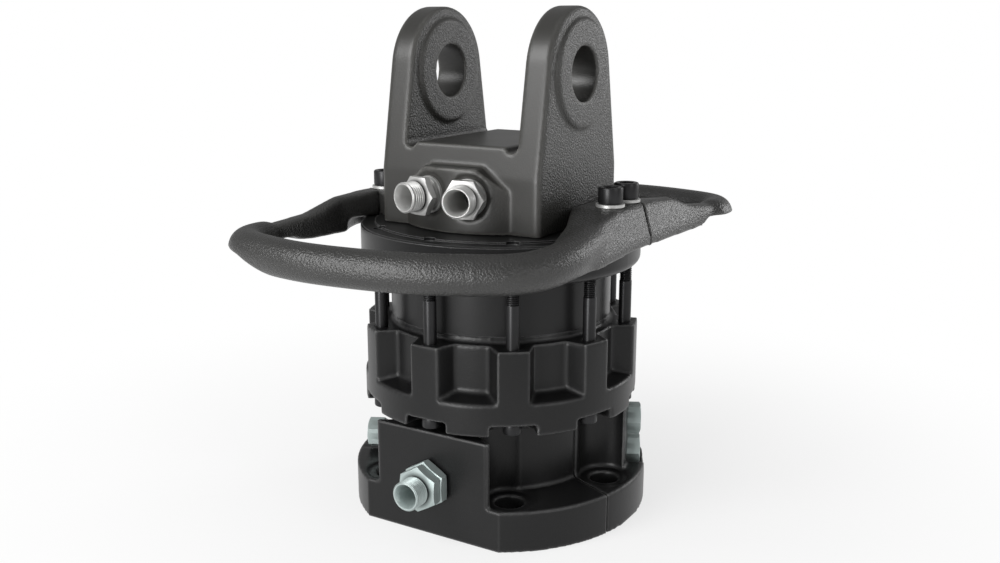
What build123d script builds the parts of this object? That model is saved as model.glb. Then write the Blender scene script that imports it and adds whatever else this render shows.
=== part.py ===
from build123d import *
from math import sin, cos, tan, radians, degrees, atan2, hypot, sqrt, pi
import os

# Hydraulic grapple rotator, flange type. Millimetres, +Z up, origin on the bottom
# face of the lower flange under the rotation axis. The front looks along -Y.
# Angles called psi are measured from the front (-Y) towards the right (+X).

os.makedirs("parts", exist_ok=True)

# Running fits and small clearances, used wherever two pieces meet.
RUN_FIT = 0.04
SEAM_GAP = 0.6
SCREW_PLAY = 0.5

# Lower flange and port housing, two castings clamped round the shaft.
FLANGE_R = 116.0
FLANGE_T = 31.0
FLAT_Y = 100.0
HOUSING_TOP = 80.5
FRONT_HUB_R = 76.0
REAR_HUB_R = 102.5
BLOCK_HALF = 49.0
SEAM_ANGLE = 25.0
BOLT_R = 93.0
BOLT_HOLE_R = 11.0
BOLT_PSI = [35.0, 90.0, 145.0]
SPOT_R = 20.0
SPOT_DEPTH = 1.5
RECESS_R = 52.0
RECESS_DEPTH = 4.0
CLAMP_PLACES = [(60.0, 64.0), (74.0, 15.5)]
CLAMP_D = 10.0
CLAMP_HEAD_D = 16.0
CLAMP_HEAD_Y = 26.0
CLAMP_LENGTH = 60.0

# Shaft that carries the flange.
SHAFT_LOW_R = 44.0
COLLAR_R = 52.0
COLLAR_Z = [36.0, 58.0]
LOW_BRG_SHAFT_R = 42.0
ROTOR_SHAFT_R = 38.0
UP_BRG_SHAFT_R = 36.0
NUT_THREAD_R = 34.0
NUT_R = 45.0
NUT_Z = [218.0, 230.0]
SWIVEL_R = 30.0
SHAFT_TOP = 276.0
OIL_GROOVE_Z = [240.0, 262.0]
SEAL_GROOVE_Z = [232.5, 247.5, 254.5, 269.5]
GALLERY_R = 4.0
GALLERY_OFFSET = 15.0
KEY_W = 10.0
KEY_DEPTH = 4.0
KEY_TURN = 18.0
KEY_Z = [156.0, 190.0]

# Bearings and the shaft seal under them.
LOW_BRG_Z = [100.0, 124.0]
LOW_BRG_OUT_R = 64.0
UP_BRG_Z = [198.0, 218.0]
UP_BRG_OUT_R = 56.0
ROLLERS = 16
ROLLER_TILT = 14.0
CARRIER_Z = [89.0, 100.0]
CARRIER_LIP = 2.5
SEAL_OUT_R = 54.0
SNAP_Z = [87.0, 89.0]
SNAP_DEPTH = 2.2

# Castellated cover, the big lower casting of the head.
RING_R = 107.0
RING_BOTTOM = 84.0
RING_TOP = 147.5
SPIGOT_TOP = 152.5
POCKET_R = 91.5
POCKET_FLOOR = 108.0
BOSS_COUNT = 10
BOSS_HALF = 10.8
BOSS_ROOT_HALF = 16.6
NOTCH_TOP = 92.5
NOTCH_HALF = 18.0
SCREW_R = 97.75
SCREW_D = 8.0
SCREW_HEAD_D = 13.0
SCREW_HEAD_H = 8.0

# Motor: cam ring, rotor and vanes.
CAM_R = 85.7
CAM_TOP = 193.0
CAM_MIN_R = 50.7
CAM_LIFT = 6.5
CAM_LOBES = 4
ROTOR_R = 50.0
VANES = 10
VANE_T = 4.0
VANE_H = 11.0
VANE_TURN = 18.0
VANE_SEAT_R = 39.6
SPRING_Z = [162.0, 183.0]
SPRING_R = 1.5
SPRING_SEAT_R = 39.0
PLATE_T = 3.5
PLATE_R = 62.0
PLATE_PORT_R = 54.0
SEAL_RING_R = 65.0
SEAL_RING_W = 3.0
SEAL_RING_H = 2.2
DOWEL_X = 76.0
DOWEL_R = 4.0
DOWEL_DEPTH = 8.0

# Upper cover and link bracket.
COVER_R = 108.0
COVER_TOP = 222.5
DISC_R = 97.0
DISC_TOP = 224.0
EAR_OUT = 68.2
EAR_IN = 47.2
EAR_PAD = 2.75
EAR_PAD_R = 39.0
EAR_TOP_R = 47.8
PIN_Z = 335.0
PIN_R = 20.0
BLOCK_FRONT = 61.0
CREASE_Z = 264.5
SADDLE_Z = 286.0
UNDERCUT_R = 4.5
PORT_BOSS_R = 75.5
PORT_BOSS_HALF = 44.0
PORT_BOSS_FLAT_HALF = 22.0
PORT_BOSS_TOP = 271.0
PORT_BOSS_SHOULDER = 254.0
PORT_Z = 250.5
PORT_PSI = 13.0
PORT_SEAT_R = 73.5
RISER_R = 59.5
RISER_BORE_R = 3.5
BRACKET_SCREW_XY = (59.5, 42.0)
BRACKET_SCREW_D = 12.0
BRACKET_SCREW_SEAT = 205.5
BRACKET_SCREW_L = 36.0
CAP_HEAD_D = 18.0
CAP_HEAD_H = 12.0
CAP_KEY = 10.0

# Hose guard, two castings that are half turns of one another.
BAR_R = 13.5
BAR_Z = 217.0
PAD_TOP = 242.0
ARM_BOTTOM = 212.0
RABBET_R = 119.0
PAD_INNER = 72.0
PAD_OUTER = 121.0
PAD_EDGE = 109.5
SPLIT_ANGLE = 53.0
SPLIT_R = 82.3
GUARD_SCREW_X = 97.0
GUARD_SCREW_Y = [-8.5, 18.5]
GUARD_SCREW_D = 12.0
GUARD_SCREW_L = 40.0
WASHER_T = 2.5
WASHER_R = 10.5

# Hose adapters, plugs and their seals.
HEX_AF = 27.0
HEX_H = 11.0
LOW_HEX_AF = 30.0
LOW_HEX_H = 8.0
ADAPTER_THREAD_R = 11.0
ADAPTER_THREAD_L = 12.5
PORT_THREAD_R = 10.4
PORT_THREAD_L = 13.0
PORT_DEPTH = 16.0
ADAPTER_BORE_R = 8.6
SEAL_T = 2.0
SEAL_R = 13.5
LOW_PORT_Z = 42.0
REAR_PORT_Z = 50.0
PLUG_AF = 22.0
PLUG_HEAD_H = 12.0
PLUG_R = 8.2
PLUG_LENGTH = 11.0
PLUG_SEAT_CLEAR = 14.5
REAR_PLUG_PSI = 117.0
REAR_PLUG_Z = [37.0, 63.0]
REAR_PLUG_SEAT = 100.0
SIDE_PSI = -64.0
SIDE_PORT_Z = 44.0
SIDE_SEAT = 74.0
SIDE_HEX_H = 14.0
SIDE_THREAD_R = 9.0
SIDE_THREAD_L = 18.0

UP = (Align.CENTER, Align.CENTER, Align.MIN)
DOWN = (Align.CENTER, Align.CENTER, Align.MAX)


def polar(r, psi, z=0.0):
    a = radians(psi)
    return Vector(r * sin(a), -r * cos(a), z)


def cyl(r, z0, z1, x=0.0, y=0.0):
    return Pos(x, y, z0) * Cylinder(r, z1 - z0, align=UP)


def ring(r_out, r_in, z0, z1):
    return cyl(r_out, z0, z1) - cyl(r_in, z0 - 1, z1 + 1)


def box(x0, x1, y0, y1, z0, z1):
    corner = (Align.MIN, Align.MIN, Align.MIN)
    return Pos(x0, y0, z0) * Box(x1 - x0, y1 - y0, z1 - z0, align=corner)


def turn(points):
    # Solid of revolution about Z from (radius, height) points.
    face = make_face(Plane.XZ * Polyline(*points, close=True))
    return revolve(face, Axis.Z)


def prism(points, z0, z1):
    return extrude(Pos(0, 0, z0) * make_face(Polyline(*points, close=True)), z1 - z0)


def out_along(psi, r, z):
    # Frame whose Z axis points radially outward at angle psi.
    d = polar(1, psi)
    return Plane(origin=polar(r, psi, z), x_dir=(0, 0, 1), z_dir=(d.X, d.Y, 0)).location


def drill(psi, r0, r1, z, radius):
    # Radial hole between two distances from the axis.
    return out_along(psi, r0, z) * Cylinder(radius, r1 - r0, align=UP)


def hexagon(af, h):
    return extrude(RegularPolygon(af / 2, 6, major_radius=False), h)


def save(node, *solids):
    found = []
    for s in solids:
        found += list(s.solids())
    shape = found[0] if len(found) == 1 else Compound(children=found)
    shape.label = node
    export_step(shape, f"parts/{node}.step")
    print(node, len(found), round(sum(s.volume for s in found) / 1000, 1), "cm3")


# Screws

def cap_screw(d, length, head_d, head_h, key):
    # Socket head cap screw: shank along +Z from 0 to length, head below 0.
    head = Pos(0, 0, -head_h) * Cylinder(head_d / 2, head_h, align=UP)
    head = chamfer(head.edges().group_by(Axis.Z)[0], 0.6)
    head -= Pos(0, 0, -head_h) * hexagon(key, head_h * 0.55)
    shank = cyl(d / 2, 0, length)
    shank = chamfer(shank.edges().group_by(Axis.Z)[-1], d * 0.08)
    return head + shank


# Lower castings

def bolt_points():
    spots = []
    for psi in BOLT_PSI:
        spots.append(polar(BOLT_R, psi))
        spots.append(polar(BOLT_R, -psi))
    return spots


def front_region(shift):
    # All that lies in front of the clamp seam, which bends forward past the side bolts.
    run = 160.0
    drop = run * tan(radians(SEAM_ANGLE))
    end = SHAFT_LOW_R + run
    points = [(-end, -drop - shift), (-SHAFT_LOW_R, -shift), (SHAFT_LOW_R, -shift),
              (end, -drop - shift), (end, -300), (-end, -300)]
    return prism(points, -5, HOUSING_TOP + 20)


def lower_body():
    disc = cyl(FLANGE_R, 0, FLANGE_T)
    front = cyl(FRONT_HUB_R, FLANGE_T, HOUSING_TOP)
    rear = cyl(REAR_HUB_R, FLANGE_T, HOUSING_TOP)
    rear &= box(-150, 150, 0, 150, FLANGE_T, HOUSING_TOP)
    block = box(-BLOCK_HALF, BLOCK_HALF, -FLAT_Y, 0, FLANGE_T, HOUSING_TOP)
    block = fillet(block.edges().filter_by(Axis.Z).group_by(Axis.Y)[0], 2.0)
    body = disc + front + rear + block
    body -= box(-150, 150, -150, -FLAT_Y, -1, HOUSING_TOP + 1)
    body -= box(-150, 150, FLAT_Y, 150, FLANGE_T, HOUSING_TOP + 1)
    for p in bolt_points():
        body -= cyl(SPOT_R, FLANGE_T - SPOT_DEPTH, HOUSING_TOP + 1, p.X, p.Y)
        body -= cyl(BOLT_HOLE_R, -1, FLANGE_T + 1, p.X, p.Y)
    body -= cyl(SHAFT_LOW_R, -1, HOUSING_TOP + 1)
    body -= cyl(COLLAR_R, COLLAR_Z[0], COLLAR_Z[1])
    body -= cyl(RECESS_R, -1, RECESS_DEPTH)
    return body


def along_y(x, z, r, y0, y1):
    return Pos(x, y1, z) * Rot(90, 0, 0) * Cylinder(r, y1 - y0, align=UP)


def clamp_places():
    return [(side * x, z) for x, z in CLAMP_PLACES for side in (-1, 1)]


def flange_halves():
    body = lower_body()
    for x, z in clamp_places():
        body -= along_y(x, z, CLAMP_D / 2, CLAMP_HEAD_Y - CLAMP_LENGTH - 6, CLAMP_HEAD_Y + 1)
        body -= along_y(x, z, CLAMP_HEAD_D / 2 + SCREW_PLAY, CLAMP_HEAD_Y, 160)
    front = body & front_region(SEAM_GAP / 2)
    rear = body - front_region(-SEAM_GAP / 2)
    for psi, z in ((0, LOW_PORT_Z), (180, REAR_PORT_Z)):
        tools = drill(psi, FLAT_Y - PORT_DEPTH, FLAT_Y + 1, z, PORT_THREAD_R)
        tools += drill(psi, COLLAR_R - 2, FLAT_Y - 10, z, 5.0)
        if psi == 0:
            front -= tools
        else:
            rear -= tools
    for z in REAR_PLUG_Z:
        rear -= drill(REAR_PLUG_PSI, REAR_PLUG_SEAT, REAR_PLUG_SEAT + 20, z, PLUG_SEAT_CLEAR)
        rear -= drill(REAR_PLUG_PSI, REAR_PLUG_SEAT - 12, REAR_PLUG_SEAT + 1, z, PLUG_R)
    front -= drill(SIDE_PSI, SIDE_SEAT, SIDE_SEAT + 40, SIDE_PORT_Z, SEAL_R)
    front -= drill(SIDE_PSI, SIDE_SEAT - 14, SIDE_SEAT + 1, SIDE_PORT_Z, PLUG_R)
    return front, rear


def hex_plug():
    head = hexagon(PLUG_AF, PLUG_HEAD_H) & Cylinder(PLUG_AF / 2 * 1.12, 3 * PLUG_HEAD_H)
    return head + cyl(PLUG_R, -PLUG_LENGTH, 0)


# Head castings

def boss_prism(k, z0, z1):
    inner = -POCKET_R + 3
    outer = -RING_R - 2
    points = [(-BOSS_ROOT_HALF, inner), (-BOSS_HALF, outer), (BOSS_HALF, outer), (BOSS_ROOT_HALF, inner)]
    return Rot(0, 0, 360.0 / BOSS_COUNT * k) * prism(points, z0, z1)


def castellated_cover():
    body = cyl(RING_R, RING_BOTTOM, RING_TOP)
    rim = RING_R + 5
    # The pocket floor slopes out and down from the wall to the rim.
    pockets = turn([(POCKET_R, POCKET_FLOOR + 4), (rim, POCKET_FLOOR - 1), (rim, RING_TOP + 1), (POCKET_R, RING_TOP + 1)])
    for k in range(BOSS_COUNT):
        pockets -= boss_prism(k, RING_BOTTOM, RING_TOP + 5)
    body -= pockets
    outer = -RING_R - 5
    inner = -SCREW_R + 9
    notch = prism([(-NOTCH_HALF, outer), (NOTCH_HALF, outer), (NOTCH_HALF * 0.85, inner), (-NOTCH_HALF * 0.85, inner)],
                  RING_BOTTOM - 1, NOTCH_TOP)
    notch = fillet(notch.edges().filter_by(Axis.Z).group_by(Axis.Y)[-1], 5.0)
    for k in range(BOSS_COUNT):
        psi = 360.0 / BOSS_COUNT * k
        body -= Rot(0, 0, psi) * notch
        p = polar(SCREW_R, psi)
        body -= cyl(SCREW_D / 2 + SCREW_PLAY / 2, NOTCH_TOP - 1, RING_TOP + 1, p.X, p.Y)
    body += cyl(CAM_R - 0.7, RING_TOP, SPIGOT_TOP)
    body -= cyl(LOW_BRG_OUT_R, RING_BOTTOM - 1, LOW_BRG_Z[1])
    body -= cyl(LOW_BRG_SHAFT_R + 8, RING_BOTTOM, SPIGOT_TOP + 1)
    body -= cyl(PLATE_R, SPIGOT_TOP - PLATE_T, SPIGOT_TOP + 1)
    body -= ring(LOW_BRG_OUT_R + SNAP_DEPTH, LOW_BRG_OUT_R - 1, *SNAP_Z)
    return body


def cam_profile(steps=32):
    points = []
    for i in range(steps):
        a = 2 * pi * i / steps
        r = CAM_MIN_R + CAM_LIFT * 0.5 * (1 - cos(CAM_LOBES * a))
        points.append((r * sin(a), -r * cos(a)))
    return points


def dowel_places():
    return [(DOWEL_X, 0.0), (-DOWEL_X, 0.0)]


def cam_ring():
    body = cyl(CAM_R, SPIGOT_TOP, CAM_TOP)
    edge = Spline(*cam_profile(), periodic=True)
    body -= extrude(Pos(0, 0, SPIGOT_TOP - 1) * make_face(edge), CAM_TOP - SPIGOT_TOP + 2)
    for x, y in dowel_places():
        body -= cyl(DOWEL_R, SPIGOT_TOP - 1, CAM_TOP + 1, x, y)
    groove_out = SEAL_RING_R + SEAL_RING_W / 2
    groove_in = SEAL_RING_R - SEAL_RING_W / 2
    body -= ring(groove_out, groove_in, CAM_TOP - SEAL_RING_H, CAM_TOP + 1)
    body -= ring(groove_out, groove_in, SPIGOT_TOP - 1, SPIGOT_TOP + SEAL_RING_H)
    return body


def upper_cover():
    body = cyl(COVER_R, CAM_TOP, COVER_TOP)
    body = fillet(body.edges().group_by(Axis.Z)[0], 6.0)
    body = chamfer(body.edges().group_by(Axis.Z)[-1], 1.2)
    body += cyl(DISC_R, COVER_TOP, DISC_TOP)
    body -= cyl(UP_BRG_OUT_R, UP_BRG_Z[0], DISC_TOP + 1)
    body -= cyl(UP_BRG_SHAFT_R + 12, CAM_TOP - 1, DISC_TOP + 1)
    body -= cyl(PLATE_R, CAM_TOP - 1, CAM_TOP + PLATE_T)
    for k in range(BOSS_COUNT):
        p = polar(SCREW_R, 360.0 / BOSS_COUNT * k)
        body -= cyl(SCREW_D / 2, CAM_TOP - 1, DISC_TOP + 1, p.X, p.Y)
        body -= cyl(SCREW_D / 2 + 0.8, COVER_TOP - 1, DISC_TOP + 1, p.X, p.Y)
    for x, y in guard_screw_places():
        body -= cyl(GUARD_SCREW_D / 2, CAM_TOP + 6, DISC_TOP + 1, x, y)
    for x, y in bracket_screw_places():
        body -= cyl(BRACKET_SCREW_D / 2 + SCREW_PLAY / 2, CAM_TOP - 1, DISC_TOP + 1, x, y)
        body -= cyl(CAP_HEAD_D / 2 + SCREW_PLAY, CAM_TOP - 1, BRACKET_SCREW_SEAT, x, y)
    for psi in (-PORT_PSI, PORT_PSI):
        p = polar(RISER_R, psi)
        body -= cyl(RISER_BORE_R, CAM_TOP - 1, DISC_TOP + 1, p.X, p.Y)
    for x, y in dowel_places():
        body -= cyl(DOWEL_R, CAM_TOP - 1, CAM_TOP + DOWEL_DEPTH, x, y)
    return body


def guard_screw_places():
    spots = []
    for y in GUARD_SCREW_Y:
        spots.append((GUARD_SCREW_X, y))
        spots.append((-GUARD_SCREW_X, -y))
    return spots


def bracket_screw_places():
    x, y = BRACKET_SCREW_XY
    return [(x, y), (-x, y), (x, -y), (-x, -y)]


def ear_outline():
    # Ear and block seen along X: a round top whose tangents run out to the block.
    reach = hypot(BLOCK_FRONT, PIN_Z - CREASE_Z)
    run = sqrt(reach * reach - EAR_TOP_R * EAR_TOP_R)
    lean = atan2(BLOCK_FRONT, PIN_Z - CREASE_Z) - atan2(EAR_TOP_R, run)
    y = BLOCK_FRONT - sin(lean) * run
    z = CREASE_Z + cos(lean) * run
    arc = ThreePointArc((-y, z), (0, PIN_Z + EAR_TOP_R), (y, z))
    sides = Polyline((y, z), (BLOCK_FRONT, CREASE_Z), (BLOCK_FRONT, DISC_TOP),
                     (-BLOCK_FRONT, DISC_TOP), (-BLOCK_FRONT, CREASE_Z), (-y, z))
    return make_face(Plane.YZ * (arc + sides))


def port_boss(side):
    # Round boss with a stepped roof, on the front (-1) or the back (1) of the block.
    outline = [(-PORT_BOSS_HALF, DISC_TOP), (PORT_BOSS_HALF, DISC_TOP),
               (PORT_BOSS_HALF, PORT_BOSS_SHOULDER), (PORT_BOSS_FLAT_HALF, PORT_BOSS_TOP),
               (-PORT_BOSS_FLAT_HALF, PORT_BOSS_TOP), (-PORT_BOSS_HALF, PORT_BOSS_SHOULDER)]
    roof = extrude(make_face(Plane.XZ * Polyline(*outline, close=True)), 100, both=True)
    y0, y1 = (-90, -40) if side < 0 else (40, 90)
    return cyl(PORT_BOSS_R, DISC_TOP, PORT_BOSS_TOP) & roof & box(-60, 60, y0, y1, 200, 300)


def link_bracket():
    body = extrude(ear_outline(), EAR_OUT, both=True)
    body -= box(-EAR_IN, EAR_IN, -100, 100, SADDLE_Z, PIN_Z + 90)
    edges = body.edges()
    outer = edges.filter_by(lambda e: abs(abs(e.center().X) - EAR_OUT) < 0.1 and e.center().Z > DISC_TOP + 1)
    body = fillet(outer, 4.0)
    edges = body.edges()
    inner = edges.filter_by(lambda e: abs(abs(e.center().X) - EAR_IN) < 0.1 and e.center().Z > SADDLE_Z + 6)
    body = fillet(inner, 3.0)
    for side in (-1, 1):
        undercut_x = side * (EAR_IN - UNDERCUT_R + 0.3)
        body -= Pos(undercut_x, 0, SADDLE_Z) * Rot(90, 0, 0) * Cylinder(UNDERCUT_R, 140)
        middle = side * (EAR_IN + EAR_OUT) / 2
        pad = Pos(middle, 0, PIN_Z) * Rot(0, 90, 0) * Cylinder(EAR_PAD_R, EAR_OUT - EAR_IN + 2 * EAR_PAD)
        body += chamfer(pad.edges().filter_by(GeomType.CIRCLE), 1.0)
        body += port_boss(side)
    body -= Pos(0, 0, PIN_Z) * Rot(0, 90, 0) * Cylinder(PIN_R, 200)
    body -= cyl(SWIVEL_R + RUN_FIT, DISC_TOP - 1, SHAFT_TOP + 3)
    body -= cyl(NUT_R + 1, DISC_TOP - 1, NUT_Z[1] + 2)
    for x, y in bracket_screw_places():
        body -= cyl(BRACKET_SCREW_D / 2, DISC_TOP - 1, DISC_TOP + 22, x, y)
    for side in (-1, 1):
        for base in (0, 180):
            psi = base + side * PORT_PSI
            body -= drill(psi, PORT_SEAT_R, PORT_SEAT_R + 20, PORT_Z, HEX_AF / 2 + 3)
            body -= drill(psi, PORT_SEAT_R - PORT_DEPTH, PORT_SEAT_R + 1, PORT_Z, PORT_THREAD_R)
        p = polar(RISER_R, side * PORT_PSI)
        body -= cyl(RISER_BORE_R, DISC_TOP - 1, PORT_Z, p.X, p.Y)
    for side, z in zip((-1, 1), OIL_GROOVE_Z):
        psi = 180 + side * PORT_PSI
        p = polar(SWIVEL_R + 12, psi)
        body -= drill(psi, SWIVEL_R + 12, PORT_SEAT_R - 10, PORT_Z, GALLERY_R)
        body -= cyl(GALLERY_R - 0.5, min(PORT_Z, z) - 6, max(PORT_Z, z) + 6, p.X, p.Y)
        body -= drill(psi, SWIVEL_R - 5, SWIVEL_R + 12, z, GALLERY_R - 1)
    return body


# Hose guard

def guard_path():
    points = [(102, -40, 225), (106, -70, 223.5), (108, -102, 220), (98, -132, 217.5), (72, -152, BAR_Z),
              (36, -168, BAR_Z), (-8, -176.5, BAR_Z), (-50, -178, BAR_Z), (-85, -171.5, BAR_Z),
              (-112, -160, BAR_Z), (-121, -134, BAR_Z)]
    return Spline(*points)


def arm_section(y, inner, outer, edge, low, top, side):
    # Upright section of the pad or arm, its outer wall leaning in towards the top.
    points = [(inner, low), (outer, low), (outer - 1, low + 8), (edge, top), (inner, top)]
    face = make_face(Plane.XZ * Polyline(*[(side * x, z) for x, z in points], close=True))
    upper = face.vertices().group_by(Axis.Z)[-1]
    return Pos(0, y, 0) * fillet(upper, 3.0)


def join_sections(rows, side):
    body = None
    for a, b in zip(rows, rows[1:]):
        piece = loft([arm_section(*a, side), arm_section(*b, side)], ruled=True)
        body = piece if body is None else body + piece
    return body


def split_block(offset):
    # All beyond the upright plane where the two castings meet.
    block = Box(400, 400, 400, align=(Align.MIN, Align.CENTER, Align.CENTER))
    return Rot(0, 0, SPLIT_ANGLE) * Pos(SPLIT_R + offset, 0, 200) * block


def guard_half():
    path = guard_path()
    bar = sweep(Plane(origin=path @ 0, z_dir=path % 0) * Circle(BAR_R), path)
    bar += Pos(path @ 1) * Sphere(BAR_R)
    # The tip and arm are flat underneath.
    flat = [(-150, 203), (-142, 216), (-111, ARM_BOTTOM), (0, ARM_BOTTOM), (0, 190), (-150, 190)]
    bar -= Pos(-60, 0, 0) * extrude(make_face(Plane.YZ * Polyline(*flat, close=True)), -120)
    pad_rows = [(60, PAD_INNER, PAD_OUTER, PAD_EDGE, ARM_BOTTOM, PAD_TOP),
                (-22, PAD_INNER, PAD_OUTER, PAD_EDGE, ARM_BOTTOM, PAD_TOP),
                (-60, 88, 121, 111, 210, 237),
                (-104, 98, 118, 114, 210, 229)]
    pad = join_sections(pad_rows, 1) - split_block(-SEAM_GAP / 2)
    arm_rows = [(0, 88, PAD_OUTER, PAD_EDGE, ARM_BOTTOM, PAD_TOP),
                (-38, 92, 122, 111, ARM_BOTTOM, PAD_TOP),
                (-66, 103, 123.5, 114, ARM_BOTTOM, 240),
                (-94, 106, 125, 120, ARM_BOTTOM, 231),
                (-132, 111, 129, 126, 216, 227)]
    arm = join_sections(arm_rows, -1) & (Rot(0, 0, 180) * split_block(SEAM_GAP / 2))
    body = bar + pad + arm
    body -= cyl(RABBET_R, 180, COVER_TOP)
    body -= cyl(DISC_R + SCREW_PLAY, COVER_TOP - 1, DISC_TOP)
    body -= box(-EAR_OUT - 1.5, EAR_OUT + 1.5, -80, 80, DISC_TOP - 1, 300)
    for y in GUARD_SCREW_Y:
        body -= cyl(GUARD_SCREW_D / 2 + SCREW_PLAY, 150, 300, GUARD_SCREW_X, y)
    return body


def guard_washer(x, y):
    washer = ring(WASHER_R, GUARD_SCREW_D / 2 + SCREW_PLAY, PAD_TOP, PAD_TOP + WASHER_T)
    return Pos(x, y, 0) * washer


# Adapters: hex body from 0 up, hose thread outward (+Z), port thread inward (-Z).

def adapter(hexes, thread_r, thread_l, port_r):
    z = 0.0
    body = cyl(port_r, -PORT_THREAD_L, 0)
    body = chamfer(body.edges().group_by(Axis.Z)[0], 0.8)
    for af, h in hexes:
        body += Pos(0, 0, z) * (hexagon(af, h) & cyl(af / 2 * 1.12, 0, h))
        z += h
    top = z + thread_l
    body += cyl(thread_r - 1, z, z + 2)
    thread = cyl(thread_r, z + 2, top)
    body += chamfer(thread.edges().group_by(Axis.Z)[-1], 0.8)
    mouth = ADAPTER_BORE_R * thread_r / ADAPTER_THREAD_R
    body -= cyl(mouth * 0.65, -PORT_THREAD_L - 1, top + 1)
    body -= Pos(0, 0, top) * Cone(mouth * 0.62, mouth, 10, align=DOWN)
    return body


def bonded_seal(port_r):
    return ring(SEAL_R, port_r, 0, SEAL_T)


def adapters():
    seat = PORT_SEAT_R + SEAL_T
    high = []
    high_seals = []
    for base in (0, 180):
        for side in (-1, 1):
            psi = base + side * PORT_PSI
            spin = Rot(0, 0, 30)
            high.append(out_along(psi, seat, PORT_Z) * spin * adapter([(HEX_AF, HEX_H)], ADAPTER_THREAD_R,
                                                                    ADAPTER_THREAD_L, PORT_THREAD_R))
            high_seals.append(out_along(psi, PORT_SEAT_R, PORT_Z) * bonded_seal(PORT_THREAD_R))
    save("bracket_adapters", *high)
    save("bracket_adapter_seals", *high_seals)
    low = []
    low_seals = []
    hexes = [(LOW_HEX_AF + 2, LOW_HEX_H), (LOW_HEX_AF, LOW_HEX_H)]
    for psi, z in ((0, LOW_PORT_Z), (180, REAR_PORT_Z)):
        low.append(out_along(psi, FLAT_Y + SEAL_T, z) * adapter(hexes, ADAPTER_THREAD_R, 14.0, PORT_THREAD_R))
        low_seals.append(out_along(psi, FLAT_Y, z) * bonded_seal(PORT_THREAD_R))
    save("flange_adapters", *low)
    save("flange_adapter_seals", *low_seals)
    side = adapter([(PLUG_AF, SIDE_HEX_H)], SIDE_THREAD_R, SIDE_THREAD_L, PLUG_R)
    save("side_adapter", out_along(SIDE_PSI, SIDE_SEAT + SEAL_T, SIDE_PORT_Z) * Rot(0, 0, 30) * side)
    save("side_adapter_seal", out_along(SIDE_PSI, SIDE_SEAT, SIDE_PORT_Z) * bonded_seal(PLUG_R))
    save("rear_port_plugs", *[out_along(REAR_PLUG_PSI, REAR_PLUG_SEAT, z) * hex_plug() for z in REAR_PLUG_Z])


# Taper roller bearings

def taper_bearing(z_range, r_in, r_out, wide_up):
    # The axes of the rollers meet on the shaft axis. Returns inner, rollers, cage, outer.
    height = z_range[1] - z_range[0]
    half = height / 2
    mean_r = (r_in + r_out) / 2
    tilt = radians(ROLLER_TILT)
    length = height * 0.70
    apex = mean_r / tan(tilt)
    spread = atan2((r_out - r_in) * 0.21, apex / cos(tilt))
    small = (apex / cos(tilt) - length / 2) * tan(spread)
    big = (apex / cos(tilt) + length / 2) * tan(spread)

    def line_r(angle, z, offset):
        # Radius of a line from the apex, moved sideways by the clearance.
        return (z + apex) * tan(angle) + offset / cos(angle)

    def around(shape, k):
        return Rot(0, 0, 360.0 / ROLLERS * k) * (Pos(mean_r, 0, 0) * (Rot(0, ROLLER_TILT, 0) * shape))

    inner = [(r_in, -half), (line_r(tilt - spread, -half, -RUN_FIT), -half),
             (line_r(tilt - spread, half, -RUN_FIT), half), (r_in, half)]
    outer = [(r_out, -half), (line_r(tilt + spread, -half, RUN_FIT), -half),
             (line_r(tilt + spread, half, RUN_FIT), half), (r_out, half)]
    edge = half - 1.2
    cage = turn([(line_r(tilt, -edge, -1.2), -edge), (line_r(tilt, -edge, 1.2), -edge),
                 (line_r(tilt, edge, 1.2), edge), (line_r(tilt, edge, -1.2), edge)])
    rollers = []
    for k in range(ROLLERS):
        rollers.append(around(Cone(small, big, length), k))
        cage -= around(Cone(small + 0.25, big + 0.25, length + 0.5), k)
    place = Pos(0, 0, sum(z_range) / 2) * Rot(0 if wide_up else 180, 0, 0)
    return place * turn(inner), [place * r for r in rollers], place * cage, place * turn(outer)


def bearings():
    for name, spec in (("lower", (LOW_BRG_Z, LOW_BRG_SHAFT_R, LOW_BRG_OUT_R, True)),
                       ("upper", (UP_BRG_Z, UP_BRG_SHAFT_R, UP_BRG_OUT_R, False))):
        inner, rollers, cage, outer = taper_bearing(*spec)
        save(f"{name}_bearing_inner", inner)
        save(f"{name}_bearing_rollers", *rollers)
        save(f"{name}_bearing_cage", cage)
        save(f"{name}_bearing_outer", outer)


# Shaft group

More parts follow.
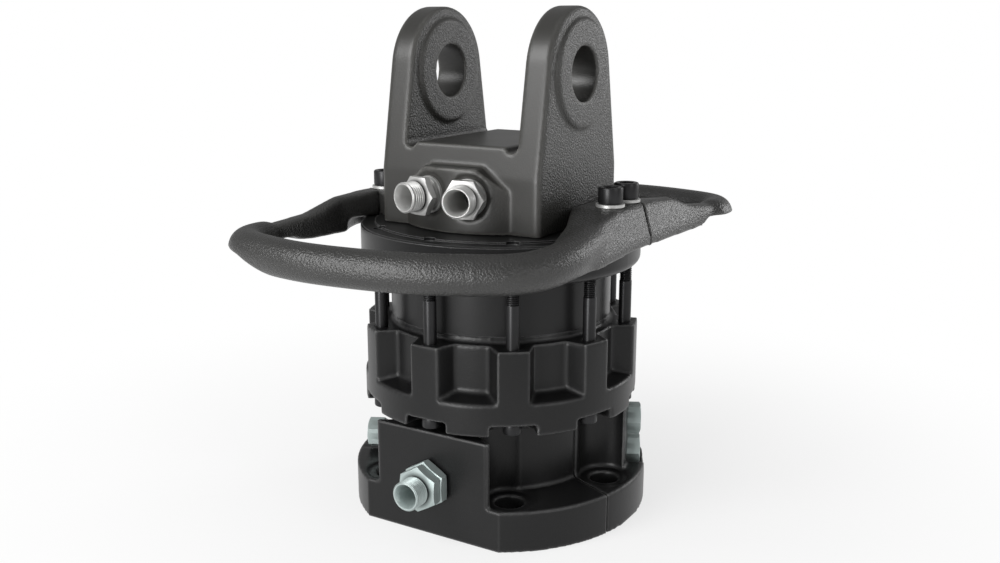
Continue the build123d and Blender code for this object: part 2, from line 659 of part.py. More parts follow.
def shaft():
    step = SPIGOT_TOP - PLATE_T - 2
    body = turn([(0, RECESS_DEPTH), (SHAFT_LOW_R, RECESS_DEPTH), (SHAFT_LOW_R, COLLAR_Z[0]),
                 (COLLAR_R, COLLAR_Z[0]), (COLLAR_R, COLLAR_Z[1]), (SHAFT_LOW_R, COLLAR_Z[1]),
                 (SHAFT_LOW_R, LOW_BRG_Z[0]), (LOW_BRG_SHAFT_R, LOW_BRG_Z[0]), (LOW_BRG_SHAFT_R, step),
                 (ROTOR_SHAFT_R, step), (ROTOR_SHAFT_R, UP_BRG_Z[0]), (UP_BRG_SHAFT_R, UP_BRG_Z[0]),
                 (UP_BRG_SHAFT_R, UP_BRG_Z[1]), (NUT_THREAD_R, UP_BRG_Z[1]), (NUT_THREAD_R, NUT_Z[1] + 1),
                 (SWIVEL_R, NUT_Z[1] + 1), (SWIVEL_R, SHAFT_TOP), (0, SHAFT_TOP)])
    for z in SEAL_GROOVE_Z:
        body -= ring(SWIVEL_R + 1, SWIVEL_R - 3.0, z - 1.6, z + 1.6)
    for z in OIL_GROOVE_Z:
        body -= ring(SWIVEL_R + 1, SWIVEL_R - 3.5, z - 3.5, z + 3.5)
    for psi, low, high in ((0, LOW_PORT_Z, OIL_GROOVE_Z[0]), (180, REAR_PORT_Z, OIL_GROOVE_Z[1])):
        p = polar(GALLERY_OFFSET, psi)
        body -= cyl(GALLERY_R + 0.5, low - 7, high + 5, p.X, p.Y)
        body -= drill(psi, GALLERY_OFFSET - 3, COLLAR_R + 5, low, GALLERY_R)
        body -= drill(psi, GALLERY_OFFSET - 3, SWIVEL_R + 2, high, GALLERY_R - 1)
    for k in range(2):
        body -= key_block(k, ROTOR_SHAFT_R - KEY_DEPTH, ROTOR_SHAFT_R + 1, *KEY_Z)
    return body


def key_block(k, r0, r1, z0, z1):
    return Rot(0, 0, KEY_TURN + 180 * k) * box(r0, r1, -KEY_W / 2, KEY_W / 2, z0, z1)


def vane_psi(k):
    return VANE_TURN + 360.0 / VANES * k


def rotor():
    low = SPIGOT_TOP - 1
    high = CAM_TOP + 1
    body = ring(ROTOR_R, ROTOR_SHAFT_R, SPIGOT_TOP + 0.1, CAM_TOP - 0.1)
    for k in range(2):
        body -= key_block(k, ROTOR_SHAFT_R - 1, ROTOR_SHAFT_R + KEY_DEPTH - 0.5, low, high)
    slot = box(-VANE_T / 2, VANE_T / 2, -ROTOR_R - 2, -VANE_SEAT_R, low, high)
    for k in range(VANES):
        body -= Rot(0, 0, vane_psi(k)) * slot
    return body


def vanes():
    tip = CAM_MIN_R - 0.15
    vane = box(-VANE_T / 2, VANE_T / 2, -tip, -VANE_SEAT_R - 1.6, SPIGOT_TOP + 0.15, CAM_TOP - 0.15)
    vane = fillet(vane.edges().filter_by(Axis.Z).group_by(Axis.Y)[0], 1.5)
    return [Rot(0, 0, vane_psi(k)) * vane for k in range(VANES)]


def vane_springs():
    springs = []
    for k in range(VANES):
        for z in SPRING_Z:
            springs.append(drill(vane_psi(k), VANE_SEAT_R, VANE_SEAT_R + 1.6, z, SPRING_R))
    return springs


def side_plate(z0, z1, port_psis):
    body = ring(PLATE_R, ROTOR_SHAFT_R + 4.3, z0, z1)
    for psi in port_psis:
        p = polar(PLATE_PORT_R, psi)
        body -= cyl(3.0, z0 - 1, z1 + 1, p.X, p.Y)
    return body


def lip_seal(r_in, r_out, z0, z1):
    return turn([(r_out, z0), (r_out, z1), (r_out - 3, z1), (r_out - 3, z0 + 3), (r_in + 3.5, z0 + 3),
                 (r_in + 2.5, z1 - 0.5), (r_in + 1.2, z1 - 0.5), (r_in, z0 + (z1 - z0) * 0.62),
                 (r_in + 1.5, z0 + 2), (r_in + 1.5, z0)])


def shaft_nut():
    nut = ring(NUT_R, NUT_THREAD_R, *NUT_Z)
    for k in range(4):
        nut -= Rot(0, 0, 90 * k) * box(NUT_R - 4, NUT_R + 5, -4, 4, NUT_Z[0] + 3, NUT_Z[1] + 1)
    return nut


def screws():
    clamp = Rot(90, 0, 0) * cap_screw(CLAMP_D, CLAMP_LENGTH, CLAMP_HEAD_D, 10, 8)
    save("clamp_screws", *[Pos(x, CLAMP_HEAD_Y, z) * clamp for x, z in clamp_places()])
    long_screw = cap_screw(SCREW_D, COVER_TOP - 1.5 - NOTCH_TOP, SCREW_HEAD_D, SCREW_HEAD_H, 6)
    spots = [polar(SCREW_R, 360.0 / BOSS_COUNT * k, NOTCH_TOP) for k in range(BOSS_COUNT)]
    save("long_screws", *[Pos(p) * long_screw for p in spots])
    short = cap_screw(BRACKET_SCREW_D, BRACKET_SCREW_L, CAP_HEAD_D, CAP_HEAD_H, CAP_KEY)
    save("bracket_screws", *[Pos(x, y, BRACKET_SCREW_SEAT) * short for x, y in bracket_screw_places()])
    guard = Rot(180, 0, 0) * cap_screw(GUARD_SCREW_D, GUARD_SCREW_L, CAP_HEAD_D, CAP_HEAD_H, CAP_KEY)
    save("guard_screws", *[Pos(x, y, PAD_TOP + WASHER_T) * guard for x, y in guard_screw_places()])
    save("guard_washers", *[guard_washer(x, y) for x, y in guard_screw_places()])


def motor():
    save("rotor", rotor())
    keys = []
    for k in range(2):
        keys.append(key_block(k, ROTOR_SHAFT_R - KEY_DEPTH, ROTOR_SHAFT_R + KEY_DEPTH - 0.6, *KEY_Z))
    save("rotor_keys", *keys)
    save("vanes", *vanes())
    save("vane_springs", *vane_springs())
    save("lower_side_plate", side_plate(SPIGOT_TOP - PLATE_T, SPIGOT_TOP, []))
    save("upper_side_plate", side_plate(CAM_TOP, CAM_TOP + PLATE_T, [-PORT_PSI, PORT_PSI]))
    save("cam_dowels", *[cyl(DOWEL_R, SPIGOT_TOP, CAM_TOP + DOWEL_DEPTH, x, y) for x, y in dowel_places()])
    seal = ring(SEAL_RING_R + SEAL_RING_W / 2 - 0.1, SEAL_RING_R - SEAL_RING_W / 2 + 0.1, 0, SEAL_RING_H)
    save("cam_ring_seals", Pos(0, 0, SPIGOT_TOP) * seal, Pos(0, 0, CAM_TOP - SEAL_RING_H) * seal)


def shaft_group():
    save("shaft", shaft())
    save("shaft_nut", shaft_nut())
    carrier = ring(LOW_BRG_OUT_R, SEAL_OUT_R, *CARRIER_Z)
    carrier += ring(LOW_BRG_OUT_R, SHAFT_LOW_R + 2, CARRIER_Z[1] - CARRIER_LIP, CARRIER_Z[1])
    save("seal_carrier", carrier)
    save("shaft_seal", lip_seal(SHAFT_LOW_R + 0.02, SEAL_OUT_R, CARRIER_Z[0], CARRIER_Z[1] - CARRIER_LIP))
    save("carrier_snap_ring", ring(LOW_BRG_OUT_R + SNAP_DEPTH, LOW_BRG_OUT_R - 4, *SNAP_Z))
    save("swivel_rings", *[ring(SWIVEL_R, SWIVEL_R - 2.6, z - 1.55, z + 1.55) for z in SEAL_GROOVE_Z])


def main():
    front, rear = flange_halves()
    save("front_flange", front)
    save("rear_flange", rear)
    save("castellated_cover", castellated_cover())
    save("cam_ring", cam_ring())
    save("upper_cover", upper_cover())
    save("link_bracket", link_bracket())
    half = guard_half()
    save("guard_front", half)
    save("guard_rear", Rot(0, 0, 180) * half)
    screws()
    adapters()
    shaft_group()
    motor()
    bearings()


main()
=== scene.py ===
# %% [markdown]
# A hydraulic grapple rotator hangs between a crane tip and a grapple and turns the
# grapple without end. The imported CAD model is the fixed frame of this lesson: Blender
# adds the finish, the threads and the rounded cast edges, and never moves a node.

# %% Load the frame
import math

import bmesh
import bpy
from mathutils import Matrix, Vector


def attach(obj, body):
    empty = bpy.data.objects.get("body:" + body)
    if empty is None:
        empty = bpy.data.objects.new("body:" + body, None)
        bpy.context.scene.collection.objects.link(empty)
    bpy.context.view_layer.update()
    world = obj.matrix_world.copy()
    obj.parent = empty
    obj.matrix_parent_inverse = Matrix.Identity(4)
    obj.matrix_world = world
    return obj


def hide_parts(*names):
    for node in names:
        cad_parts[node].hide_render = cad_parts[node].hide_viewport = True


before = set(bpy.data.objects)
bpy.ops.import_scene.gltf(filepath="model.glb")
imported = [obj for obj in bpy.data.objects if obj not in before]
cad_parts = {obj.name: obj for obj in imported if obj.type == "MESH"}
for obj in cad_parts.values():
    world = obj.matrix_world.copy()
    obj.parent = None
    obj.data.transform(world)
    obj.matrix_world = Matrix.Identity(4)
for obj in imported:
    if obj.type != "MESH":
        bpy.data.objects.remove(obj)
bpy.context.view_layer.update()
MM = 0.001
print("nodes in the frame:", len(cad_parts))

# %% [markdown]
# The photograph was taken from the right of the front, a little above the link's pin
# and looking down. The camera comes first, so that each later step can be judged in
# its own frame. A lens of 39 mm on a 36 mm sensor gives the photograph's perspective.
# Sizes of the part are in millimetres here, and all that Blender asks for is in metres.

# %% Camera
CAMERA_AZIMUTH = 31.258
CAMERA_ELEVATION = 13.448
CAMERA_DISTANCE = 0.8521
CAMERA_TARGET = Vector((-0.00066, -0.0004, 0.173))
SENSOR_WIDTH = 36.0
LENS_LENGTH = 39.05
NEAREST, FARTHEST = 0.02, 30.0


def direction(azimuth, elevation):
    """Unit vector towards a point seen at this azimuth and elevation, 0 being the front."""
    a, e = math.radians(azimuth), math.radians(elevation)
    return Vector((math.sin(a) * math.cos(e), -math.cos(a) * math.cos(e), math.sin(e)))


def aim(thing, azimuth, elevation, distance, target):
    """Puts a lamp or camera at a distance from the target and turns it to look there."""
    back = direction(azimuth, elevation)
    thing.location = target + back * distance
    thing.rotation_mode = "QUATERNION"
    thing.rotation_quaternion = (-back).to_track_quat("-Z", "Y")


lens = bpy.data.cameras.new("studio_camera")
lens.sensor_width = SENSOR_WIDTH
lens.lens = LENS_LENGTH
lens.clip_start, lens.clip_end = NEAREST, FARTHEST
camera = bpy.data.objects.new("studio_camera", lens)
bpy.context.scene.collection.objects.link(camera)
aim(camera, CAMERA_AZIMUTH, CAMERA_ELEVATION, CAMERA_DISTANCE, CAMERA_TARGET)
bpy.context.scene.camera = camera
print("camera at", [round(c, 4) for c in camera.location])

# %% [markdown]
# Shader nodes are wired by name in a few short helpers. A group is a small machine with
# named inputs and outputs that several materials share, so the edge highlight and the
# cast grain are made once and tuned for each finish from outside.

# %% Node helpers


def add_node(tree, kind, **values):
    """A node with its properties and input defaults set by name."""
    node = tree.nodes.new(kind)
    for key, value in values.items():
        if key in node.inputs.keys():
            node.inputs[key].default_value = value
        else:
            setattr(node, key.lower(), value)
    return node


def math_node(tree, operation, first, second=None):
    """A Math node fed by sockets or plain numbers."""
    node = tree.nodes.new("ShaderNodeMath")
    node.operation = operation
    for index, value in enumerate((first, second)):
        if value is None:
            continue
        if isinstance(value, (int, float)):
            node.inputs[index].default_value = value
        else:
            tree.links.new(value, node.inputs[index])
    return node.outputs[0]


def new_group(name, inputs, outputs):
    """An empty shader group with float inputs (name, default) and typed outputs."""
    tree = bpy.data.node_groups.new(name, "ShaderNodeTree")
    for label, default in inputs:
        socket = tree.interface.new_socket(label, in_out="INPUT", socket_type="NodeSocketFloat")
        socket.default_value = default
    for label, kind in outputs:
        tree.interface.new_socket(label, in_out="OUTPUT", socket_type=kind)
    return tree, tree.nodes.new("NodeGroupInput"), tree.nodes.new("NodeGroupOutput")


def use_group(tree, group, **values):
    """Places a group in a material with its own values."""
    node = tree.nodes.new("ShaderNodeGroup")
    node.node_tree = group
    for key, value in values.items():
        node.inputs[key.replace("_", " ")].default_value = value
    return node


def outputs_of(group):
    """The names of what a group puts out."""
    return [item.name for item in group.interface.items_tree if item.in_out == "OUTPUT"]


# %% [markdown]
# Castings have no sharp edges, but the CAD solids do. The Bevel node bends the normal
# near an edge as a small radius would, so edges catch the lamps. Comparing that normal
# with the true one gives a mask of the edges, where paint is thin and handling polishes,
# and where the paint colour is also lightened as a painted highlight.

# %% Group: rounded edges and their mask
edge_group, edge_in, edge_out = new_group(
    "cast_edges",
    [("Radius", 0.001), ("Sharpness", 4.0)],
    [("Normal", "NodeSocketVector"), ("Edge", "NodeSocketFloat")])
bevel = add_node(edge_group, "ShaderNodeBevel", samples=4)
edge_group.links.new(edge_in.outputs["Radius"], bevel.inputs["Radius"])
shape = edge_group.nodes.new("ShaderNodeNewGeometry")
dot = add_node(edge_group, "ShaderNodeVectorMath", operation="DOT_PRODUCT")
edge_group.links.new(bevel.outputs["Normal"], dot.inputs[0])
edge_group.links.new(shape.outputs["Normal"], dot.inputs[1])
bent = math_node(edge_group, "SUBTRACT", 1.0, dot.outputs["Value"])
lifted = math_node(edge_group, "MULTIPLY", bent, edge_in.outputs["Sharpness"])
clipped = math_node(edge_group, "MINIMUM", lifted, 1.0)
edge_group.links.new(bevel.outputs["Normal"], edge_out.inputs["Normal"])
edge_group.links.new(math_node(edge_group, "MAXIMUM", clipped, 0.0), edge_out.inputs["Edge"])
print(edge_group.name, "gives", outputs_of(edge_group))

# %% [markdown]
# Sand leaves a skin like fine leather on a casting: rounded cells a little over a
# millimetre across with finer pits among them. A smooth Voronoi gives the cells and a
# noise breaks their rows, and the same group serves the smoother housing at a lower
# depth. Smooth ends says how much grain is left on faces that look along Y or Z.

# %% Group: cast grain
WARP_REACH = 0.0015
MIDDLE_HEIGHT = 0.75
grain_group, grain_in, grain_out = new_group(
    "cast_grain",
    [("Cells", 420.0), ("Pits", 1500.0), ("Pit share", 0.35), ("Smooth ends", 1.0)],
    [("Height", "NodeSocketFloat"), ("Patch", "NodeSocketFloat")])
place = grain_group.nodes.new("ShaderNodeTexCoord")
warp = add_node(grain_group, "ShaderNodeTexNoise", Scale=320.0, Detail=2.0)
grain_group.links.new(place.outputs["Object"], warp.inputs["Vector"])
shift = add_node(grain_group, "ShaderNodeVectorMath", operation="MULTIPLY_ADD")
shift.inputs[1].default_value = (WARP_REACH, WARP_REACH, WARP_REACH)
grain_group.links.new(warp.outputs["Color"], shift.inputs[0])
grain_group.links.new(place.outputs["Object"], shift.inputs[2])
cells = add_node(grain_group, "ShaderNodeTexVoronoi", feature="SMOOTH_F1", Smoothness=0.7)
grain_group.links.new(shift.outputs["Vector"], cells.inputs["Vector"])
grain_group.links.new(grain_in.outputs["Cells"], cells.inputs["Scale"])
pits = add_node(grain_group, "ShaderNodeTexNoise", Detail=3.0, Roughness=0.55)
grain_group.links.new(place.outputs["Object"], pits.inputs["Vector"])
grain_group.links.new(grain_in.outputs["Pits"], pits.inputs["Scale"])
domes = math_node(grain_group, "SUBTRACT", 1.0, cells.outputs["Distance"])
fine = math_node(grain_group, "MULTIPLY", pits.outputs["Fac"], grain_in.outputs["Pit share"])
facing = grain_group.nodes.new("ShaderNodeSeparateXYZ")
grain_group.links.new(place.outputs["Normal"], facing.inputs[0])
along_x = math_node(grain_group, "ABSOLUTE", facing.outputs["X"])
sideways = math_node(grain_group, "POWER", along_x, 2.0)
share = math_node(grain_group, "MAXIMUM", sideways, grain_in.outputs["Smooth ends"])
grained = math_node(grain_group, "ADD", domes, fine)
relief = math_node(grain_group, "SUBTRACT", grained, MIDDLE_HEIGHT)
grain_group.links.new(math_node(grain_group, "MULTIPLY", relief, share), grain_out.inputs["Height"])
patch = add_node(grain_group, "ShaderNodeTexNoise", Scale=22.0, Detail=4.0, Roughness=0.6)
grain_group.links.new(place.outputs["Object"], patch.inputs["Vector"])
grain_group.links.new(patch.outputs["Fac"], grain_out.inputs["Patch"])
print(grain_group.name, "gives", outputs_of(grain_group))

# %% [markdown]
# Every painted casting has the same recipe: a near-black paint whose tone drifts in
# patches, a lighter edge that is partly wear and partly a painted highlight, and a satin
# roughness that the patches vary. Colours are linear values, so 0.02 shows as a dark
# grey of about 15 percent on the screen.

# %% Painted castings
# A Mix node holds sockets for every kind of data. These are the places of its colours.
MIX_FACTOR, MIX_FIRST, MIX_SECOND, MIX_RESULT = 0, 6, 7, 2
PITS_PER_CELL = 3.6
PIT_SHARE = 0.35
FAINTEST_EDGE_MARK = 0.45
PAINT_BUMP = 0.8


def mix_colours(tree, factor, first, second):
    """A Mix node between two colours, plain or from sockets, driven by a mask."""
    mix = tree.nodes.new("ShaderNodeMix")
    mix.data_type = "RGBA"
    tree.links.new(factor, mix.inputs[MIX_FACTOR])
    for index, value in ((MIX_FIRST, first), (MIX_SECOND, second)):
        if isinstance(value, tuple):
            mix.inputs[index].default_value = (*value, 1.0)
        else:
            tree.links.new(value, mix.inputs[index])
    return mix.outputs[MIX_RESULT]


def spread(tree, value, low, high):
    """Maps a 0 to 1 mask on to a range."""
    node = add_node(tree, "ShaderNodeMapRange")
    tree.links.new(value, node.inputs["Value"])
    node.inputs["To Min"].default_value = low
    node.inputs["To Max"].default_value = high
    return node.outputs["Result"]


def new_material(name):
    """A material with its Principled shader, ready for wiring."""
    material = bpy.data.materials.new(name)
    material.use_nodes = True
    return material, material.node_tree, material.node_tree.nodes["Principled BSDF"]


def cast_paint(name, dark, light, edge_wear_and_highlight, cells, depth, radius, rough, gloss, sharpness, smooth_ends=1.0):
    """Painted casting: dark and light drift, edges lightened partly as wear and partly as a painted
    highlight, grain of a depth in metres.
    """
    material, tree, shader = new_material(name)
    edges = use_group(tree, edge_group, Radius=radius, Sharpness=sharpness)
    grain = use_group(tree, grain_group, Cells=cells, Pits=cells * PITS_PER_CELL, Pit_share=PIT_SHARE,
                      Smooth_ends=smooth_ends)
    tone = mix_colours(tree, grain.outputs["Patch"], dark, light)
    edge_mark_patches = spread(tree, grain.outputs["Patch"], FAINTEST_EDGE_MARK, 1.0)
    # Edges are painted lighter here, partly wear and partly a painted highlight.
    edge_wear_and_highlight_mask = math_node(tree, "MULTIPLY", edges.outputs["Edge"], edge_mark_patches)
    tree.links.new(mix_colours(tree, edge_wear_and_highlight_mask, tone, edge_wear_and_highlight), shader.inputs["Base Color"])
    tree.links.new(spread(tree, grain.outputs["Patch"], *rough), shader.inputs["Roughness"])
    bump = add_node(tree, "ShaderNodeBump", Strength=PAINT_BUMP, Distance=depth)
    tree.links.new(grain.outputs["Height"], bump.inputs["Height"])
    tree.links.new(edges.outputs["Normal"], bump.inputs["Normal"])
    tree.links.new(bump.outputs["Normal"], shader.inputs["Normal"])
    shader.inputs["Specular IOR Level"].default_value = gloss
    return material


bracket_paint = cast_paint(
    "bracket_paint", dark=(0.020, 0.0196, 0.0180), light=(0.028, 0.0273, 0.0248),
    edge_wear_and_highlight=(0.22, 0.218, 0.206), cells=800.0, depth=0.00048, radius=0.0018, rough=(0.34, 0.42),
    gloss=0.5, sharpness=30.0, smooth_ends=0.08)
guard_paint = cast_paint(
    "guard_paint", dark=(0.012, 0.012, 0.0113), light=(0.018, 0.0176, 0.0165),
    edge_wear_and_highlight=(0.10, 0.098, 0.092), cells=700.0, depth=0.0005, radius=0.0026, rough=(0.34, 0.42),
    gloss=0.7, sharpness=12.0)
housing_paint = cast_paint(
    "housing_paint", dark=(0.0058, 0.0058, 0.0060), light=(0.0088, 0.0088, 0.0090),
    edge_wear_and_highlight=(0.20, 0.20, 0.20), cells=900.0, depth=0.00006, radius=0.0016, rough=(0.30, 0.38),
    gloss=0.28, sharpness=20.0)
turned_paint = cast_paint(
    "turned_paint", dark=(0.0065, 0.0065, 0.0067), light=(0.010, 0.010, 0.0102),
    edge_wear_and_highlight=(0.16, 0.16, 0.16), cells=1000.0, depth=0.00003, radius=0.0008, rough=(0.30, 0.38),
    gloss=0.28, sharpness=14.0)
paints = [bracket_paint, guard_paint, housing_paint, turned_paint]
print("painted finishes:", [paint.name for paint in paints])

# %% [markdown]
# Bare and plated metal shows the tool that cut it. Fine rings round the part's own
# axis would need a coordinate for each fitting, so here a fine noise gives short
# strokes in every direction, and the plating drifts a little in tone and gloss. Edges
# are painted lighter as a painted highlight, and thread roots are painted darker as
# painted shade; the pieces mark those roots themselves in an attribute named hollow.

# %% Metals, rubber and plastic
EDGE_HIGHLIGHT_GAIN = 1.25
ROOT_SHADE_GAIN = 0.12
STROKE_BUMP = 0.5


def metal(name, dark, light, rough, strokes, depth, radius=0.0002, metallic=1.0):
    """Plated or ground metal with fine tool strokes, a drifting polish, a painted highlight on its edges and
    painted shade in its thread roots.
    """
    material, tree, shader = new_material(name)
    edges = use_group(tree, edge_group, Radius=radius, Sharpness=4.0)
    place = tree.nodes.new("ShaderNodeTexCoord")
    stroke = add_node(tree, "ShaderNodeTexNoise", Scale=strokes, Detail=3.0, Roughness=0.6)
    tree.links.new(place.outputs["Object"], stroke.inputs["Vector"])
    drift = add_node(tree, "ShaderNodeTexNoise", Scale=90.0, Detail=2.0)
    tree.links.new(place.outputs["Object"], drift.inputs["Vector"])
    tone = mix_colours(tree, drift.outputs["Fac"], dark, light)
    # Edges are painted lighter: a painted highlight.
    bright = tuple(min(1.0, channel * EDGE_HIGHLIGHT_GAIN) for channel in light)
    tone_with_edge_highlight = mix_colours(tree, edges.outputs["Edge"], tone, bright)
    # Thread roots are painted darker here: painted shade in the grooves.
    hollow = add_node(tree, "ShaderNodeAttribute", attribute_name="hollow")
    painted_root_shade = tuple(channel * ROOT_SHADE_GAIN for channel in dark)
    tree.links.new(mix_colours(tree, hollow.outputs["Fac"], tone_with_edge_highlight, painted_root_shade), shader.inputs["Base Color"])
    tree.links.new(spread(tree, drift.outputs["Fac"], *rough), shader.inputs["Roughness"])
    bump = add_node(tree, "ShaderNodeBump", Strength=STROKE_BUMP, Distance=depth)
    tree.links.new(stroke.outputs["Fac"], bump.inputs["Height"])
    tree.links.new(edges.outputs["Normal"], bump.inputs["Normal"])
    tree.links.new(bump.outputs["Normal"], shader.inputs["Normal"])
    shader.inputs["Metallic"].default_value = metallic
    return material


zinc = metal(
    "bright_zinc", dark=(0.46, 0.46, 0.45), light=(0.60, 0.60, 0.59), rough=(0.38, 0.50),
    strokes=900.0, depth=0.00005, metallic=0.7)
green_zinc = metal(
    "passivated_zinc", dark=(0.34, 0.40, 0.39), light=(0.44, 0.50, 0.49), rough=(0.40, 0.52),
    strokes=900.0, depth=0.00005, metallic=0.6)
black_oxide = metal(
    "black_oxide", dark=(0.014, 0.014, 0.015), light=(0.028, 0.028, 0.029), rough=(0.30, 0.42),
    strokes=1400.0, depth=0.00003, radius=0.0004, metallic=0.6)
ground_steel = metal(
    "ground_steel", dark=(0.42, 0.42, 0.41), light=(0.56, 0.56, 0.55), rough=(0.22, 0.36),
    strokes=1800.0, depth=0.00003)
bearing_steel = metal(
    "bearing_steel", dark=(0.55, 0.55, 0.56), light=(0.66, 0.66, 0.67), rough=(0.10, 0.20),
    strokes=2200.0, depth=0.00001)
bronze = metal(
    "bearing_bronze", dark=(0.42, 0.26, 0.11), light=(0.55, 0.36, 0.17), rough=(0.28, 0.42),
    strokes=1500.0, depth=0.00003)
seal_rubber = metal(
    "seal_rubber", dark=(0.010, 0.010, 0.010), light=(0.018, 0.018, 0.018), rough=(0.50, 0.65),
    strokes=1200.0, depth=0.00004, radius=0.0004, metallic=0.0)
seal_plastic = metal(
    "seal_plastic", dark=(0.04, 0.12, 0.22), light=(0.06, 0.16, 0.28), rough=(0.35, 0.48),
    strokes=1000.0, depth=0.00002, radius=0.0003, metallic=0.0)
metals = [zinc, green_zinc, black_oxide, ground_steel, bearing_steel, bronze]
print("metals and seals:", [finish.name for finish in metals + [seal_rubber, seal_plastic]])

# %% [markdown]
# A CAD node keeps its mesh, and only its material slots change. Each node is listed
# with the finish it has on the real part, inside ones too, since the part can be cut
# open or taken to pieces by whoever uses it next.

# %% Finish every CAD node
FINISHES = {
    bracket_paint: ["link_bracket"],
    guard_paint: ["guard_front", "guard_rear"],
    housing_paint: ["front_flange", "rear_flange", "castellated_cover"],
    turned_paint: ["upper_cover", "cam_ring"],
    black_oxide: ["clamp_screws", "long_screws", "bracket_screws", "guard_screws"],
    zinc: ["guard_washers", "bracket_adapters", "bracket_adapter_seals", "flange_adapter_seals",
           "side_adapter_seal"],
    green_zinc: ["flange_adapters", "side_adapter", "rear_port_plugs"],
    ground_steel: ["shaft", "shaft_nut", "rotor", "rotor_keys", "vanes", "cam_dowels", "carrier_snap_ring",
                   "vane_springs", "seal_carrier"],
    bearing_steel: ["lower_bearing_inner", "lower_bearing_rollers", "lower_bearing_outer",
                    "upper_bearing_inner", "upper_bearing_rollers", "upper_bearing_outer"],
    bronze: ["lower_side_plate", "upper_side_plate", "lower_bearing_cage", "upper_bearing_cage"],
    seal_rubber: ["shaft_seal", "cam_ring_seals"],
    seal_plastic: ["swivel_rings"],
}


def dress(thing, material):
    """Gives every slot of an object this one material."""
    thing.data.materials.clear()
    thing.data.materials.append(material)


for material, names in FINISHES.items():
    for name in names:
        dress(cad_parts[name], material)
print("finished nodes:", sum(len(names) for names in FINISHES.values()))

# %% [markdown]
# Screws, plugs and hose adapters are all turned or hexagonal, one ring after another
# along an axis. So one tool makes them: it starts from a circle, extrudes its edges
# and moves each new ring to a station. A station says how far out and how high each
# point of the ring lies, and may depend on the angle, as a hexagon or a thread does.

# %% Tool: a body from stations
# In millimetres: points closer than MELT_GAP become one, and a ring of POINT_R is a point.
MELT_GAP = 1e-4
DEGENERATE_GAP = 1e-5
POINT_R = 2e-5


def round_at(radius, height):
    """A plain circle."""
    return lambda angle: (radius, height)


def tiny(height):
    """The closing point on the axis."""
    return round_at(POINT_R, height)


def hex_radius(angle, across_flats):
    """Distance from the axis to the side of a hexagon at this angle."""
    sixth = math.pi / 3
    inside = (angle % sixth) - sixth / 2
    return across_flats / 2 / math.cos(inside)


def hex_at(across_flats, height, chamfer_from=None, slope=0.55):
    """A hexagon, dished towards its corners by the conical chamfer that nuts have."""
    def station(angle):
        r = hex_radius(angle, across_flats)
        drop = 0.0 if chamfer_from is None else max(0.0, r - chamfer_from) * slope
        return r, height - drop
    return station


def move_ring(ring, station):
    """Sets each point of a ring to its station, and keeps the point's angle."""
    for v in ring:
        angle = math.atan2(v.co.y, v.co.x) % math.tau
        r, height = station(angle)
        v.co = Vector((math.cos(angle) * r, math.sin(angle) * r, height))


def grow(stations, segments):
    """A closed mesh whose rings follow the stations; the last ring meets the first or the axis."""
    body = bmesh.new()
    made = bmesh.ops.create_circle(body, cap_ends=False, radius=1.0, segments=segments)
    edges = list(body.edges)
    move_ring(made["verts"], stations[0])
    for station in stations[1:]:
        grown = bmesh.ops.extrude_edge_only(body, edges=edges)["geom"]
        fresh = {g for g in grown if isinstance(g, bmesh.types.BMVert)}
        edges = [g for g in grown if isinstance(g, bmesh.types.BMEdge) and set(g.verts) <= fresh]
        move_ring(fresh, station)
    bmesh.ops.remove_doubles(body, verts=body.verts, dist=MELT_GAP)
    bmesh.ops.dissolve_degenerate(body, edges=body.edges, dist=DEGENERATE_GAP)
    bmesh.ops.recalc_face_normals(body, faces=body.faces)
    return body


print("a hexagon 27 mm across flats is", round(2 * hex_radius(0.0, 27.0), 2), "mm across corners")

# %% [markdown]
# A real thread is one long helix. A radius that rises and falls once for each pitch,
# and is turned by one pitch for each turn round the axis, draws it on plain rings.
# The depth fades at both ends, as the die leaves it.

# %% Tool: thread stations
FADE_PITCHES = 0.7
ROOT_WIDENING = 1.25


def thread(radius, depth, pitch, start, end, rings_per_pitch):
    """Stations for an outside thread between two heights, in millimetres."""
    count = max(2, round(abs(end - start) / pitch * rings_per_pitch))
    fade = pitch * FADE_PITCHES
    stations = []
    for i in range(count + 1):
        h = start + (end - start) * i / count

        def station(angle, h=h):
            phase = (h / pitch - angle / math.tau) % 1.0
            groove = 1.0 - abs(phase * 2 - 1.0)
            room = min(abs(h - start), abs(h - end)) / fade
            return radius - depth * min(1.0, groove * ROOT_WIDENING) * min(1.0, room), h
        stations.append(station)
    return stations


print("a thread of ten pitches takes", len(thread(11.0, 1.1, 1.8, 0.0, 18.0, 8)), "rings")

# %% [markdown]
# A body made in millimetres on its own axis is then set in the frame. Fittings point
# straight out from the rotation axis at an angle psi, counted from the front towards
# the right. Screws stand upright, so they need no turn.

# %% Tool: place bodies and make one piece of them
HOLLOW_REACH = 0.08 * MM
SMOOTH_UNDER = math.radians(32.0)


def outward(psi, r, z, spin=0.0):
    """Matrix for a fitting: its own +Z points out from the axis at angle psi."""
    out = direction(psi, 0.0)
    up = Vector((0.0, 0.0, 1.0))
    side = up.cross(out)
    turn = Matrix((side, up, out)).transposed().to_4x4()
    spot = Matrix.Translation((out.x * r * MM, out.y * r * MM, z * MM))
    return spot @ turn @ Matrix.Rotation(math.radians(spin), 4, "Z") @ Matrix.Scale(MM, 4)


def upright(x, y, z, flip=False):
    """Matrix for a screw: its shank points up, or down when it is flipped."""
    turn = Matrix.Rotation(math.pi if flip else 0.0, 4, "X")
    return Matrix.Translation((x * MM, y * MM, z * MM)) @ turn @ Matrix.Scale(MM, 4)


def mark_hollows(body):
    """Writes how deep each point lies in a groove: 0 on flats and crests, 1 in a thread's root."""
    layer = body.verts.layers.float.new("hollow")
    body.normal_update()
    for v in body.verts:
        around = [edge.other_vert(v).co for edge in v.link_edges]
        middle = sum(around, Vector()) / max(1, len(around))
        v[layer] = max(0.0, min(1.0, (middle - v.co).dot(v.normal) / HOLLOW_REACH))


